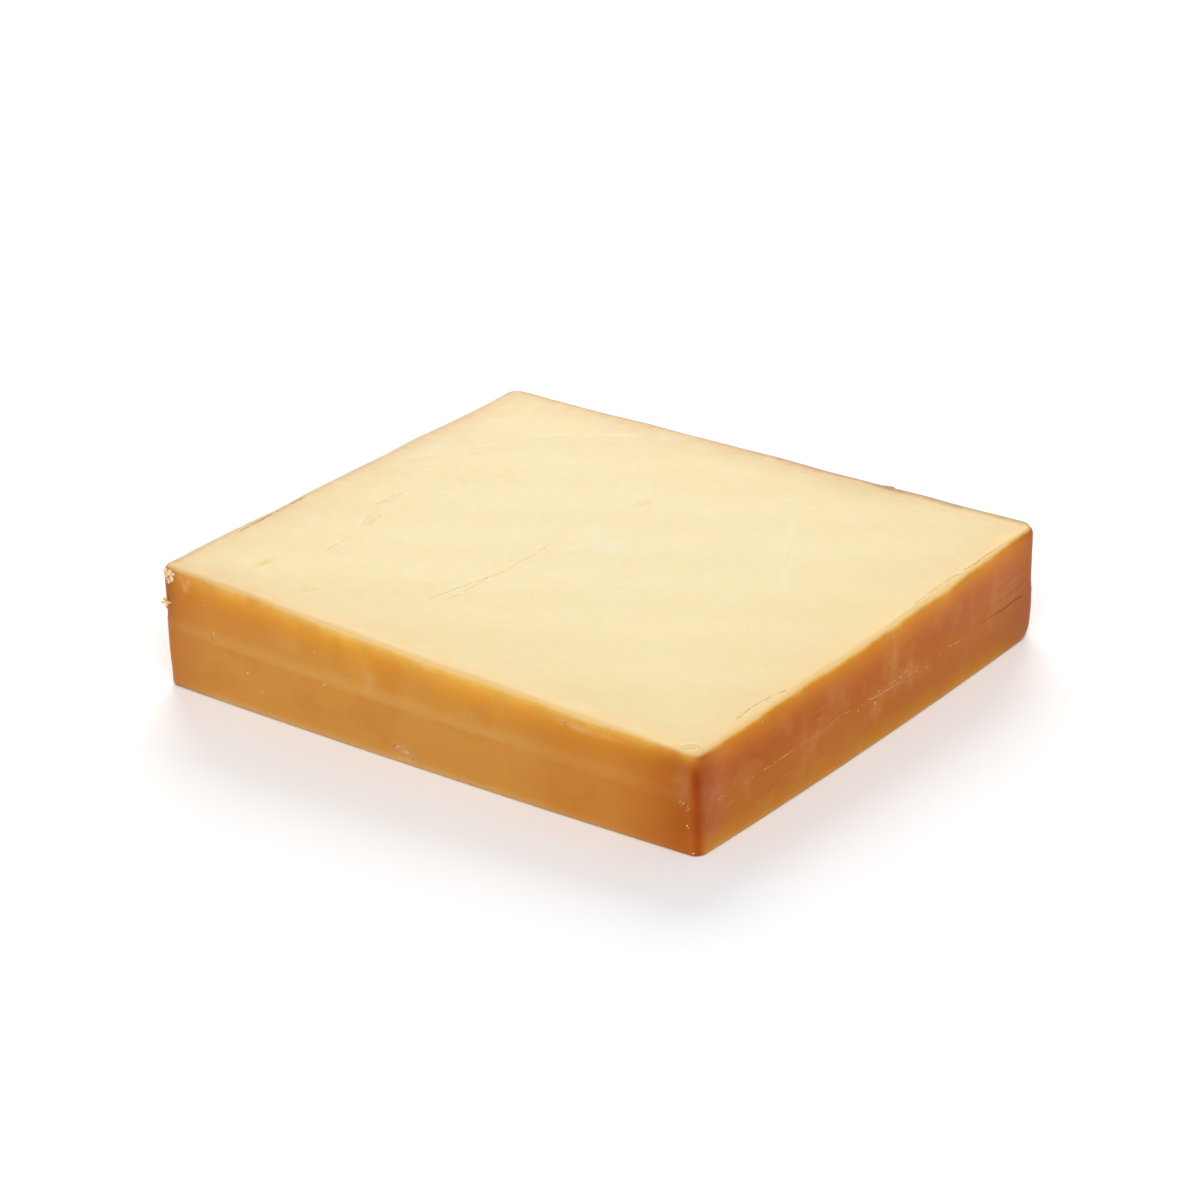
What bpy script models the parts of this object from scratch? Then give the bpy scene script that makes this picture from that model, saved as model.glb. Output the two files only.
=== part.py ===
"""A catering slab of smoked cheddar, cut from a larger block.

One closed solid of cheese. The top was sliced a little out of level, so every corner has its own
height, and the corners aren't quite square. X runs along the longer side, Y along the shorter one,
Z is up, and the slab lies on its flat underside. Metres.
"""

import bmesh
import bpy
import numpy as np
from mathutils import Vector

for old in list(bpy.data.objects):
    bpy.data.objects.remove(old, do_unlink=True)

MM = 0.001

# Size of the slab before its corners move, in millimetres.
LENGTH = 240.0
WIDTH = 221.2
THICKNESS = 46.0

# Each corner is named for where it is: X side, then Y side.
CORNERS = ("low_low", "high_low", "high_high", "low_high")
CORNER_HEIGHT = {"low_low": 48.5, "high_low": 37.8, "high_high": 44.3, "low_high": 46.2}
CORNER_ROUNDING = {"low_low": 4.6, "high_low": 6.2, "high_high": 10.6, "low_high": 5.6}
TOP_SHIFT = {
    "low_low": (0.7, 0.2),
    "high_low": (-1.4, -0.9),
    "high_high": (1.0, 0.6),
    "low_high": (-1.9, -2.5),
}
BASE_SHIFT = {
    "low_low": (1.1, 1.1),
    "high_low": (-0.4, -0.7),
    "high_high": (0.8, 1.3),
    "low_high": (0.0, 0.0),
}

TOP_EDGE_RADIUS = 2.9
BASE_EDGE_RADIUS = 2.4

# How far the middle of a side stands out past its ends, at the base and at the top.
BOW_FRONT = (1.7, 0.4)
BOW_RIGHT = (2.0, 0.5)
BOW_BACK = (0.2, 0.2)
BOW_LEFT = (0.2, 0.2)

# The pressed line round the sides, as a share of the height. Below it the slab stands a little
# further out, and a fine groove runs along the foot of that step.
FOLD_LEVEL = {"low_low": 0.53, "high_low": 0.51, "high_high": 0.40, "low_high": 0.48}
FOLD_RISE_FRONT = 0.075
STEP_OUT = 0.34
STEP_FROM, STEP_TO = 3.6, -0.6
STEP_FADE_LOW, STEP_FADE_HIGH = 0.08, 0.33
GROOVE_DEPTH = 0.26
GROOVE_BELOW = 1.0
GROOVE_HALF_WIDTH = 0.75

# How far the wire's unevenness on top and the wander of the edges may reach.
TOP_SWELL = 0.22
SWELL_BORDER = 14.0
EDGE_WAVE = 0.28

# Where the cuts through the plain block go: spacing along a side, distances in from an upright
# edge, turns of the arc over a rounded edge, and heights above and below the middle row.
COLUMN_STEP = 8.6
EDGE_STEPS = [0.9, 1.9, 2.9, 4.6, 7.2]
ARC_TURNS = (33.0, 16.5, 0.0)
ROWS_FROM_MIDDLE = (-10.5, -4.2, -2.0, -1.0, 0.0, 1.2, 2.6, 4.4, 10.5)
ROUNDED_SHARE = 0.08
SIDE_TURN = 11.0


def stations(half):
    """Places of the cuts across one direction: close together at both ends, even between."""
    inner = half - max(CORNER_ROUNDING.values()) - 0.4
    count = round(2 * inner / COLUMN_STEP)
    ends = [half - step for step in EDGE_STEPS]
    middle = [-inner + 2 * inner * i / count for i in range(count + 1)]
    return sorted([-e for e in ends] + middle + ends)


def levels():
    """Heights of the cuts: the two edge roundings, and the rows that follow the fold."""
    arc = [1 - np.tan(np.radians(turn)) for turn in ARC_TURNS]
    low = [BASE_EDGE_RADIUS * a for a in arc]
    high = [THICKNESS - TOP_EDGE_RADIUS * a for a in arc]
    between = [THICKNESS / 2 + row for row in ROWS_FROM_MIDDLE]
    return sorted(low + high + between)


def smooth(low, high, value):
    """Runs from 0 at low to 1 at high with a soft start and end."""
    t = min(max((value - low) / (high - low), 0.0), 1.0)
    return t * t * (3 - 2 * t)


def blend(table, u, v):
    """A corner value carried over the whole plan; u and v run from 0 to 1."""
    return (
        (1 - u) * (1 - v) * table["low_low"]
        + u * (1 - v) * table["high_low"]
        + u * v * table["high_high"]
        + (1 - u) * v * table["low_high"]
    )


def swell(x, y):
    """The slight unevenness that the cutting wire leaves on the top."""
    return TOP_SWELL * (
        np.sin(x / 27.0 + 0.8) * np.cos(y / 34.0 - 0.4)
        + 0.6 * np.sin((x + y) / 15.5 + 1.9)
        + 0.35 * np.cos((x - 1.7 * y) / 11.0)
    )


def wave(along, seed):
    """The wander of an edge that was pressed and handled."""
    return EDGE_WAVE * (
        np.sin(along / 9.5 + seed) + 0.7 * np.sin(along / 21.0 + 2.3 * seed) + 0.4 * np.sin(along / 5.1)
    )


def round_edges(x, y, z):
    """Rounds the top and base edges of the box, then the upright edges."""
    half_x, half_y = LENGTH / 2, WIDTH / 2
    in_from_side = min(half_x - abs(x), half_y - abs(y))
    upper = z > THICKNESS / 2
    radius = TOP_EDGE_RADIUS if upper else BASE_EDGE_RADIUS
    from_cap = THICKNESS - z if upper else z
    if in_from_side < radius and from_cap < radius:
        a, b = radius - in_from_side, radius - from_cap
        size = np.hypot(a, b)
        in_from_side = radius - radius * a / size
        from_cap = radius - radius * b / size
        z = THICKNESS - from_cap if upper else from_cap
    x = min(max(x, in_from_side - half_x), half_x - in_from_side)
    y = min(max(y, in_from_side - half_y), half_y - in_from_side)
    name = CORNERS[(1 if x > 0 else 0) if y < 0 else (2 if x > 0 else 3)]
    bend = CORNER_ROUNDING[name]
    a, b = abs(x) - (half_x - bend), abs(y) - (half_y - bend)
    if a > 0 and b > 0:
        shrink = max(a, b) / np.hypot(a, b)
        x = np.sign(x) * (half_x - bend + a * shrink)
        y = np.sign(y) * (half_y - bend + b * shrink)
    return x, y, z


def outward(x, y):
    """The way out of the nearest side, turning over the last millimetres to an upright edge."""
    a = max(abs(x) - (LENGTH / 2 - SIDE_TURN), 0.0)
    b = max(abs(y) - (WIDTH / 2 - SIDE_TURN), 0.0)
    if a == 0 and b == 0:
        return 0.0, 0.0
    a, b = a**3, b**3
    size = np.hypot(a, b)
    return np.sign(x) * a / size, np.sign(y) * b / size


def fold_relief(off, w):
    """How far a side stands out, off millimetres above its middle row: the step and its groove."""
    down = 1 - smooth(STEP_TO, STEP_FROM, off)
    step = STEP_OUT * down * smooth(STEP_FADE_LOW, STEP_FADE_HIGH, w)
    return step - GROOVE_DEPTH * np.exp(-(((off + GROOVE_BELOW) / GROOVE_HALF_WIDTH) ** 2))


def move_row(w, level):
    """Takes the middle row of points to the fold's level and leaves the rounded edges alone."""
    t = min(max((w - ROUNDED_SHARE) / (1 - 2 * ROUNDED_SHARE), 0.0), 1.0)
    return w + (level - 0.5) * 16 * t**2 * (1 - t) ** 2


def lean(u, v, w, axis):
    """How far the corners' own moves carry a point, at its share w of the height."""
    top = blend({k: TOP_SHIFT[k][axis] for k in CORNERS}, u, v)
    base = blend({k: BASE_SHIFT[k][axis] for k in CORNERS}, u, v)
    return (1 - w) * base + w * top


def shape_point(x, y, z):
    """Takes a point of the plain box to its place on the slab."""
    x, y, z = round_edges(x, y, z)
    u, v = x / LENGTH + 0.5, y / WIDTH + 0.5
    w = min(max(z / THICKNESS, 0.0), 1.0)
    out_x, out_y = outward(x, y)

    # The fold, then the rows of points moved so that their middle one lies along it.
    if ROUNDED_SHARE < w < 1 - ROUNDED_SHARE:
        relief = fold_relief(z - THICKNESS / 2, w)
        x += out_x * relief
        y += out_y * relief
    rise = FOLD_RISE_FRONT * u**2 * (1 - abs(2 * u - 1) ** 5) * max(1 - v, 0.0) ** 2
    w_moved = move_row(w, blend(FOLD_LEVEL, u, v) + rise)

    # Edges that wander, most at the top and not at all where the slab rests.
    along = x if abs(out_y) > abs(out_x) else y
    wander = wave(along, 1.0 + 2.0 * abs(out_x)) * w * w
    x += out_x * wander
    y += out_y * wander

    # Bowed sides, corners that lean, and heights that differ.
    front, right, back, left = [
        (1 - w) * base + w * top for base, top in (BOW_FRONT, BOW_RIGHT, BOW_BACK, BOW_LEFT)
    ]
    across_x = 1 - (2 * x / LENGTH) ** 2
    across_y = 1 - (2 * y / WIDTH) ** 2
    dx = (right * u - left * (1 - u)) * across_y + lean(u, v, w, 0)
    dy = (back * v - front * (1 - v)) * across_x + lean(u, v, w, 1)
    height = blend(CORNER_HEIGHT, u, v)
    border = min(LENGTH / 2 - abs(x), WIDTH / 2 - abs(y))
    lift = swell(x, y) * min(1.0, max(0.0, border / SWELL_BORDER)) * w**6
    return x + dx, y + dy, w_moved * height + lift


# A plain block, sliced where the form needs points, then worked to shape.
block = bmesh.new()
bmesh.ops.create_cube(block, size=1.0)
for vert in block.verts:
    vert.co = Vector((vert.co.x * LENGTH, vert.co.y * WIDTH, (vert.co.z + 0.5) * THICKNESS))

slices = [
    (Vector((1, 0, 0)), stations(LENGTH / 2)),
    (Vector((0, 1, 0)), stations(WIDTH / 2)),
    (Vector((0, 0, 1)), levels()),
]
for normal, places in slices:
    for place in places:
        bmesh.ops.bisect_plane(
            block,
            geom=block.verts[:] + block.edges[:] + block.faces[:],
            plane_co=normal * place,
            plane_no=normal,
            dist=1e-5,
        )

# The underside stays one flat face, so its inner cuts come out again.
NEARLY = 1e-3
border = next(step for step in EDGE_STEPS if step >= BASE_EDGE_RADIUS) - NEARLY
half = Vector((LENGTH / 2 - border, WIDTH / 2 - border))
inner = {
    face
    for face in block.faces
    if all(v.co.z < NEARLY and abs(v.co.x) < half.x and abs(v.co.y) < half.y for v in face.verts)
}
lines = [e for e in block.edges if len(e.link_faces) == 2 and inner.issuperset(e.link_faces)]
bmesh.ops.dissolve_edges(block, edges=lines, use_verts=True)

for vert in block.verts:
    vert.co = Vector(shape_point(*vert.co))

widest = [f for f in block.faces if len(f.verts) > 4]
bmesh.ops.poke(block, faces=widest)
bmesh.ops.triangulate(block, faces=[f for f in block.faces if len(f.verts) > 3])
bmesh.ops.recalc_face_normals(block, faces=block.faces[:])

# The row's frame: centred over the middle of its box, resting on z = 0.
low = Vector([min(v.co[i] for v in block.verts) for i in range(3)])
high = Vector([max(v.co[i] for v in block.verts) for i in range(3)])
middle = (low + high) / 2
for vert in block.verts:
    vert.co = Vector((vert.co.x - middle.x, vert.co.y - middle.y, vert.co.z - low.z)) * MM
for face in block.faces:
    face.smooth = True

mesh = bpy.data.meshes.new("cheese_slab")
block.to_mesh(mesh)
block.free()

cheese = bpy.data.materials.new("smoked_cheese")
cheese.use_nodes = True
skin = cheese.node_tree.nodes["Principled BSDF"]
skin.inputs["Base Color"].default_value = (0.80, 0.52, 0.22, 1.0)
skin.inputs["Roughness"].default_value = 0.42
skin.inputs["Metallic"].default_value = 0.0
mesh.materials.append(cheese)

slab = bpy.data.objects.new("cheese_slab", mesh)
bpy.context.scene.collection.objects.link(slab)
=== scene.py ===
"""The looks of a catering slab of smoked cheddar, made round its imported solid. Metres, +Z up."""

import math
import random

import bmesh
import bpy
import numpy as np
from mathutils import Matrix, Vector, noise
from mathutils.bvhtree import BVHTree


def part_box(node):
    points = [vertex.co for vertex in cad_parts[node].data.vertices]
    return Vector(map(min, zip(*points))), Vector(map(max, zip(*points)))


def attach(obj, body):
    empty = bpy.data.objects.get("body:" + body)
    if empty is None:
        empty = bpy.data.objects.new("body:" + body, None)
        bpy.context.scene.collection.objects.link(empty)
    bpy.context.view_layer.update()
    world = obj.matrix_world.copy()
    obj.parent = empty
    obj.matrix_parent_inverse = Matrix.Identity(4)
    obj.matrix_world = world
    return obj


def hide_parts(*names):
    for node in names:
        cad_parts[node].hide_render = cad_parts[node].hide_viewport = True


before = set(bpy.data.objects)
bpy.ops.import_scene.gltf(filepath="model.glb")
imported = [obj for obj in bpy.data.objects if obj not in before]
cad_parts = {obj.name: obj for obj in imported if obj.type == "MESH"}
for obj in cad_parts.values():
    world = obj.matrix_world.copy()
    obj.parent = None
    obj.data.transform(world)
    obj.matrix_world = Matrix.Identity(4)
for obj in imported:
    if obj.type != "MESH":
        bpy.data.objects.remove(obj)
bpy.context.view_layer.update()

# ---------------------------------------------------------------------------------------------
# The slab. A block of cheddar, pressed in a mould and smoked whole until its outside turned amber,
# then cut through with a wire. Its top is the pale cut face and its sides are the smoked rind.
# The form is the solid's own, with finer rows of points for the marks of pressing and handling.

MM = 0.001
LENGTH, WIDTH, THICKNESS = 240.0, 221.2, 46.0

# Each corner is named for where it is: X side, then Y side. Heights, roundings and moves are in
# millimetres, and the roundings change to those of the base only close above it.
CORNERS = ("low_low", "high_low", "high_high", "low_high")
CORNER_HEIGHT = {"low_low": 48.5, "high_low": 37.8, "high_high": 44.3, "low_high": 46.2}
ROUNDING = {"low_low": 4.6, "high_low": 4.6, "high_high": 7.8, "low_high": 5.6}
BASE_ROUNDING = {"low_low": 4.6, "high_low": 3.6, "high_high": 17.0, "low_high": 5.6}
BASE_ROUNDING_POWER = 28
TOP_SHIFT = {
    "low_low": (0.7, 0.2),
    "high_low": (-1.4, -0.9),
    "high_high": (1.0, 0.6),
    "low_high": (-1.9, -2.5),
}
BASE_SHIFT = {
    "low_low": (1.1, 1.1),
    "high_low": (-0.4, -0.7),
    "high_high": (0.8, 1.3),
    "low_high": (0.0, 0.0),
}

# Radii of the top and base edges, and how far each side bows out at its base and at its top.
TOP_EDGE_RADIUS, BASE_EDGE_RADIUS = 2.9, 1.6
BOW_FRONT, BOW_RIGHT, BOW_BACK, BOW_LEFT = (1.7, 0.4), (2.0, 0.5), (0.2, 0.2), (0.2, 0.2)

# The pressed line round the sides, as a share of the height, with the step and groove it has.
FOLD_LEVEL = {"low_low": 0.53, "high_low": 0.51, "high_high": 0.40, "low_high": 0.48}
FOLD_RISE_FRONT = 0.075
STEP_OUT, STEP_FROM, STEP_TO = 0.34, -5.2, 0.3
STEP_FADE_LOW, STEP_FADE_HIGH = 0.08, 0.33
GROOVE_DEPTH, GROOVE_BELOW, GROOVE_HALF_WIDTH = 0.12, 0.9, 0.95
TOP_SWELL, SWELL_BORDER, EDGE_WAVE = 0.22, 14.0, 0.28
SIDE_TURN = 11.0

# Steps between the points: over the top, down the sides, round an edge and in under the base.
TOP_PITCH, ROW_PITCH = 1.3, 1.0
ARC_TURNS = (36.0, 27.0, 18.0, 9.0, 0.0)
EDGE_STEPS = (0.0, 0.5, 1.0, 1.5, 2.0, 2.5, 3.2, 4.1, 5.1, 6.2)
UNDER_STEPS = (0.5, 1.0, BASE_EDGE_RADIUS, 12.0)
ON_FACE, FAR_OFF = 1e-4, 1e9

# Marks of knife, wire and hands, as runs of places on the slab: X and Y on the top, X and Z on the
# front, Y and Z on the right side.
KNIFE_SLIT = (
    (-24.7, -71.0), (-23.2, -64.5), (-22.2, -59.5), (-20.6, -52.0), (-19.1, -45.3),
    (-17.8, -35.8), (-17.3, -18.1), (-18.0, -1.6),
)
SLIT_FORK = ((-19.5, -69.6), (-18.8, -59.1), (-18.3, -51.4), (-19.0, -45.3))
SLIT_TAIL = ((-18.2, -43.5), (-17.6, -38.5), (-16.8, -32.0))
SCRATCHES = (
    ((-90.6, -18.7), (-91.2, -11.0), (-90.4, -4.8)),
    ((-90.0, -15.7), (-89.4, -10.0), (-90.0, -5.4)),
    ((-91.9, -12.3), (-91.1, -5.7)),
    ((-83.0, -38.1), (-85.4, -32.5), (-86.6, -27.7)),
    ((-82.0, -37.3), (-84.4, -27.5)),
    ((-81.4, -35.0), (-82.6, -30.0), (-84.0, -25.6)),
    ((-79.4, -63.6), (-80.0, -58.3)),
    ((-79.9, -57.6), (-79.9, -55.4)),
    ((-80.1, -52.9), (-80.3, -48.0)),
    ((62.5, 27.2), (59.3, 34.3), (56.4, 40.3)),
)
RIM_CRACKS = (
    ((114.3, -81.4), (113.7, -73.3), (113.9, -65.9), (116.1, -54.0)),
    ((117.4, 28.0), (117.9, 37.0), (118.0, 46.0), (118.5, 58.0)),
    ((116.9, 38.0), (117.3, 50.1), (117.9, 61.0), (118.5, 72.0)),
    ((118.0, 55.0), (118.4, 66.0), (118.2, 77.0), (118.5, 88.0)),
    ((-115.4, -69.0), (-115.8, -58.2), (-116.4, -48.0), (-117.3, -28.9)),
)
CORNER_LIP = ((110.6, -106.9), (112.6, -104.9), (114.6, -104.4), (116.4, -106.2))
WIRE_ARCS = (
    (
        (-108.3, 24.0), (-98.0, 45.9), (-86.0, 61.0), (-79.8, 72.7), (-66.6, 84.2), (-53.6, 92.8),
        (-38.6, 98.6),
    ),
    ((-58.4, 90.7), (-47.2, 99.0), (-34.6, 103.4)),
    ((-43.1, 94.0), (-36.6, 101.9)),
    ((31.5, 76.0), (48.0, 54.0), (61.5, 31.7), (72.4, 9.2)),
)
SIDE_CRACKS = (
    ((66.0, 20.0), (76.0, 19.5), (84.0, 19.0), (91.0, 19.6), (98.5, 19.5)),
    ((81.2, 27.9), (92.0, 29.3), (101.8, 30.7)),
    ((74.8, 22.6), (88.0, 23.6), (101.1, 24.5)),
    ((-24.8, 20.4), (-8.5, 19.1), (8.8, 17.6)),
)
SIDE_CRACK_SHARES = (1.0, 0.3, 0.35, 0.3)
# Each crack is notched in by its depth and half width, and painted shade darkens it over a narrower half
# width.
CRACK_DEPTH, CRACK_HALF_WIDTH, CRACK_SHADE_HALF_WIDTH = 0.4, 0.26, 0.24
TOP_MARKS = (KNIFE_SLIT, SLIT_FORK, SLIT_TAIL, *SCRATCHES, *RIM_CRACKS, CORNER_LIP)


def stations(half, pitch):
    """Places of the points across one direction, closer together towards both ends."""
    inner = half - EDGE_STEPS[-1]
    count = round(2 * inner / pitch)
    ends = [half - step for step in EDGE_STEPS[:-1]]
    even = [-inner + 2 * inner * i / count for i in range(count + 1)]
    return np.array([-e for e in ends] + even + ends[::-1])


def box_skin():
    """Points and faces of a plain box skin: top, sides and closed underside."""
    grid_x, grid_y = np.meshgrid(stations(LENGTH / 2, TOP_PITCH), stations(WIDTH / 2, TOP_PITCH))
    top = np.stack([grid_x.ravel(), grid_y.ravel(), np.full(grid_x.size, THICKNESS)], 1)
    net = np.arange(grid_x.size).reshape(grid_x.shape)
    quads = [np.stack([net[:-1, :-1], net[:-1, 1:], net[1:, 1:], net[1:, :-1]], -1).reshape(-1, 4)]
    loop = np.concatenate([net[0, :], net[1:, -1], net[-1, -2::-1], net[-2:0:-1, 0]])
    ring = top[loop]

    arc = 1 - np.tan(np.radians(ARC_TURNS))
    upper, lower = THICKNESS - TOP_EDGE_RADIUS * arc, (BASE_EDGE_RADIUS * arc)[::-1]
    between = np.linspace(upper[-1], lower[0], round((upper[-1] - lower[0]) / ROW_PITCH) + 1)[1:-1]
    insets = [(height, 0.0) for height in (*upper, *between, *lower, 0.0)]
    insets += [(0.0, step) for step in UNDER_STEPS]
    points, rows, start = [top], [loop], len(top)
    for height, step in insets:
        shrink = np.array([1 - 2 * step / LENGTH, 1 - 2 * step / WIDTH])
        points.append(np.column_stack([ring[:, :2] * shrink, np.full(len(ring), height)]))
        rows.append(np.arange(start, start + len(ring)))
        start += len(ring)
    for above, below in zip(rows[:-1], rows[1:]):
        quads.append(np.stack([above, below, np.roll(below, -1), np.roll(above, -1)], -1))
    faces = np.concatenate(quads).tolist()
    points.append(np.zeros((1, 3)))
    faces += [[b, a, start] for a, b in zip(rows[-1].tolist(), np.roll(rows[-1], -1).tolist())]
    return np.concatenate(points), faces


def blend(table, u, v):
    """A corner value carried over the whole plan; u and v run from 0 to 1."""
    return (
        (1 - u) * (1 - v) * table["low_low"]
        + u * (1 - v) * table["high_low"]
        + u * v * table["high_high"]
        + (1 - u) * v * table["low_high"]
    )


def smooth(low, high, value):
    """Runs from 0 at low to 1 at high with a soft start and end."""
    t = np.clip((value - low) / (high - low), 0.0, 1.0)
    return t * t * (3 - 2 * t)


def round_edges(x, y, z):
    """Rounds the top and base edges of the box, then the upright edges, most of all at the base."""
    half_x, half_y = LENGTH / 2, WIDTH / 2
    inset = np.minimum(half_x - abs(x), half_y - abs(y))
    upper = z > THICKNESS / 2
    radius = np.where(upper, TOP_EDGE_RADIUS, BASE_EDGE_RADIUS)
    from_cap = np.where(upper, THICKNESS - z, z)
    near = (inset < radius) & (from_cap < radius)
    a, b = radius - inset, radius - from_cap
    size = np.where(near, np.hypot(a, b), 1.0)
    inset = np.where(near, radius - radius * a / size, inset)
    from_cap = np.where(near, radius - radius * b / size, from_cap)
    z = np.where(upper, THICKNESS - from_cap, from_cap)
    x = np.clip(x, inset - half_x, half_x - inset)
    y = np.clip(y, inset - half_y, half_y - inset)
    near_base = (1 - z / THICKNESS) ** BASE_ROUNDING_POWER
    bends = [ROUNDING[c] + near_base * (BASE_ROUNDING[c] - ROUNDING[c]) for c in CORNERS]
    bend = np.select([(x <= 0) & (y < 0), (x > 0) & (y < 0), (x > 0) & (y >= 0)], bends[:3], bends[3])
    a, b = abs(x) - (half_x - bend), abs(y) - (half_y - bend)
    corner = (a > 0) & (b > 0)
    shrink = np.where(corner, np.maximum(a, b) / np.where(corner, np.hypot(a, b), 1.0), 1.0)
    x = np.where(corner, np.sign(x) * (half_x - bend + a * shrink), x)
    y = np.where(corner, np.sign(y) * (half_y - bend + b * shrink), y)
    return x, y, z


def outward(x, y):
    """The way out of the nearest side, turning over the last millimetres to an upright edge."""
    a = np.maximum(abs(x) - (LENGTH / 2 - SIDE_TURN), 0.0) ** 3
    b = np.maximum(abs(y) - (WIDTH / 2 - SIDE_TURN), 0.0) ** 3
    size = np.where(a + b > 0, np.hypot(a, b), 1.0)
    return np.sign(x) * a / size, np.sign(y) * b / size


def swell(x, y):
    """The slight unevenness that the cutting wire leaves on the top."""
    return TOP_SWELL * (
        np.sin(x / 27.0 + 0.8) * np.cos(y / 34.0 - 0.4)
        + 0.6 * np.sin((x + y) / 15.5 + 1.9)
        + 0.35 * np.cos((x - 1.7 * y) / 11.0)
    )


def wave(along, seed):
    """The wander of an edge that was pressed and handled."""
    return EDGE_WAVE * (
        np.sin(along / 9.5 + seed) + 0.7 * np.sin(along / 21.0 + 2.3 * seed) + 0.4 * np.sin(along / 5.1)
    )


def lean(u, v, w, axis):
    """How far the corners' own moves carry a point, at its share w of the height."""
    top = blend({k: TOP_SHIFT[k][axis] for k in CORNERS}, u, v)
    base = blend({k: BASE_SHIFT[k][axis] for k in CORNERS}, u, v)
    return (1 - w) * base + w * top


def slab_form(raw):
    """Takes points of the plain box to their places on the slab, with their drop below the fold."""
    x, y, z = round_edges(*raw.T)
    u, v = x / LENGTH + 0.5, y / WIDTH + 0.5
    w = np.clip(z / THICKNESS, 0.0, 1.0)
    out_x, out_y = outward(x, y)
    height = blend(CORNER_HEIGHT, u, v)
    rise = FOLD_RISE_FRONT * u**2 * (1 - abs(2 * u - 1) ** 5) * np.clip(1 - v, 0, 1) ** 2
    below_fold = (blend(FOLD_LEVEL, u, v) + rise - w) * height
    along = np.where(abs(out_y) > abs(out_x), x, y)
    wander = wave(along, 1.0 + 2.0 * abs(out_x)) * w * w
    x, y = x + out_x * wander, y + out_y * wander
    front, right, back, left = [
        (1 - w) * base + w * top for base, top in (BOW_FRONT, BOW_RIGHT, BOW_BACK, BOW_LEFT)
    ]
    dx = (right * u - left * (1 - u)) * (1 - (2 * y / WIDTH) ** 2) + lean(u, v, w, 0)
    dy = (back * v - front * (1 - v)) * (1 - (2 * x / LENGTH) ** 2) + lean(u, v, w, 1)
    fade = np.clip(np.minimum(LENGTH / 2 - abs(x), WIDTH / 2 - abs(y)) / SWELL_BORDER, 0.0, 1.0)
    return np.stack([x + dx, y + dy, w * height + swell(x, y) * fade * w**6], 1), below_fold


def reach_to(places, path):
    """Distance of every place to the nearest point of a run of straight strokes."""
    best = np.full(len(places), FAR_OFF)
    for a, b in zip(np.array(path[:-1]), np.array(path[1:])):
        run = b - a
        t = np.clip((places - a) @ run / (run @ run), 0.0, 1.0)
        best = np.minimum(best, np.linalg.norm(places - a - t[:, None] * run, axis=1))
    return best


def grain(points, pitch, seed):
    """Soft noise of about -1 to 1, whose lumps are about pitch millimetres across."""
    offset = Vector((seed, 2.7 * seed, -1.3 * seed))
    return np.array([noise.noise(Vector(p) / pitch + offset) for p in points])


def spot(points, centre, size):
    """1 at a place on the slab, falling off to 0; size is its reach along X, Y and Z."""
    off = (points - np.array(centre)) / np.array(size)
    return np.exp(-(off**2).sum(1))


def faces_of(raw):
    """Which raw points lie on the top, on the right side and on the front."""
    return (
        raw[:, 2] >= THICKNESS - ON_FACE,
        (raw[:, 0] > LENGTH / 2 - ON_FACE) & (raw[:, 2] < THICKNESS - ON_FACE),
        (raw[:, 1] < ON_FACE - WIDTH / 2) & (raw[:, 2] < THICKNESS - ON_FACE),
    )


def mark_distance(raw, place):
    """Distance of every point to the nearest knife, wire or crack mark of its own face."""
    top, right, _ = faces_of(raw)
    over = np.min([reach_to(place[:, :2], p) for p in TOP_MARKS], axis=0)
    side = np.min([reach_to(place[:, 1:], p) for p in SIDE_CRACKS], axis=0)
    return np.where(top, over, np.where(right, side, FAR_OFF))


# The box skin gets finer steps round the marks, in two rounds of halving.
REFINE_WITHIN = (2.1, 0.95)
raw, faces = box_skin()
low, high = (np.array(c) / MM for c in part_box("cheese_slab"))
plain_place, _ = slab_form(raw)
shift = (low + high) / 2 - (plain_place.min(0) + plain_place.max(0)) / 2
shift[2] = 0.0
skin_mesh = bmesh.new()
skin_verts = [skin_mesh.verts.new(p) for p in raw]
for face in faces:
    skin_mesh.faces.new([skin_verts[i] for i in face])
for reach in REFINE_WITHIN:
    skin_mesh.verts.index_update()
    raw = np.array([v.co[:] for v in skin_mesh.verts])
    near = mark_distance(raw, slab_form(raw)[0] + shift) < reach
    edges = [e for e in skin_mesh.edges if near[e.verts[0].index] and near[e.verts[1].index]]
    bmesh.ops.subdivide_edges(skin_mesh, edges=edges, cuts=1, use_grid_fill=True)
skin_mesh.verts.index_update()
raw = np.array([v.co[:] for v in skin_mesh.verts])
place, below_fold = slab_form(raw)
place += shift

on_top, on_right, on_front = faces_of(raw)
under = raw[:, 2] <= ON_FACE
inset = np.minimum(LENGTH / 2 - abs(raw[:, 0]), WIDTH / 2 - abs(raw[:, 1]))
rim = np.where(on_top, -inset, THICKNESS - raw[:, 2])
foot = np.where(under, -inset, raw[:, 2])
out_x, out_y = outward(raw[:, 0], raw[:, 1])
side = np.where(on_top | under, 0.0, 1.0)

# Down the sides: a step out to the pressed line, with a fine groove at its foot.
worn = 0.15 + 0.45 * smooth(-0.35, 0.25, grain(place, 17.0, 3.1))
push = STEP_OUT * smooth(STEP_FROM, STEP_TO, below_fold)
push *= smooth(STEP_FADE_LOW, STEP_FADE_HIGH, raw[:, 2] / THICKNESS)
push -= GROOVE_DEPTH * worn * np.exp(-(((below_fold - GROOVE_BELOW) / GROOVE_HALF_WIDTH) ** 2))

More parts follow.
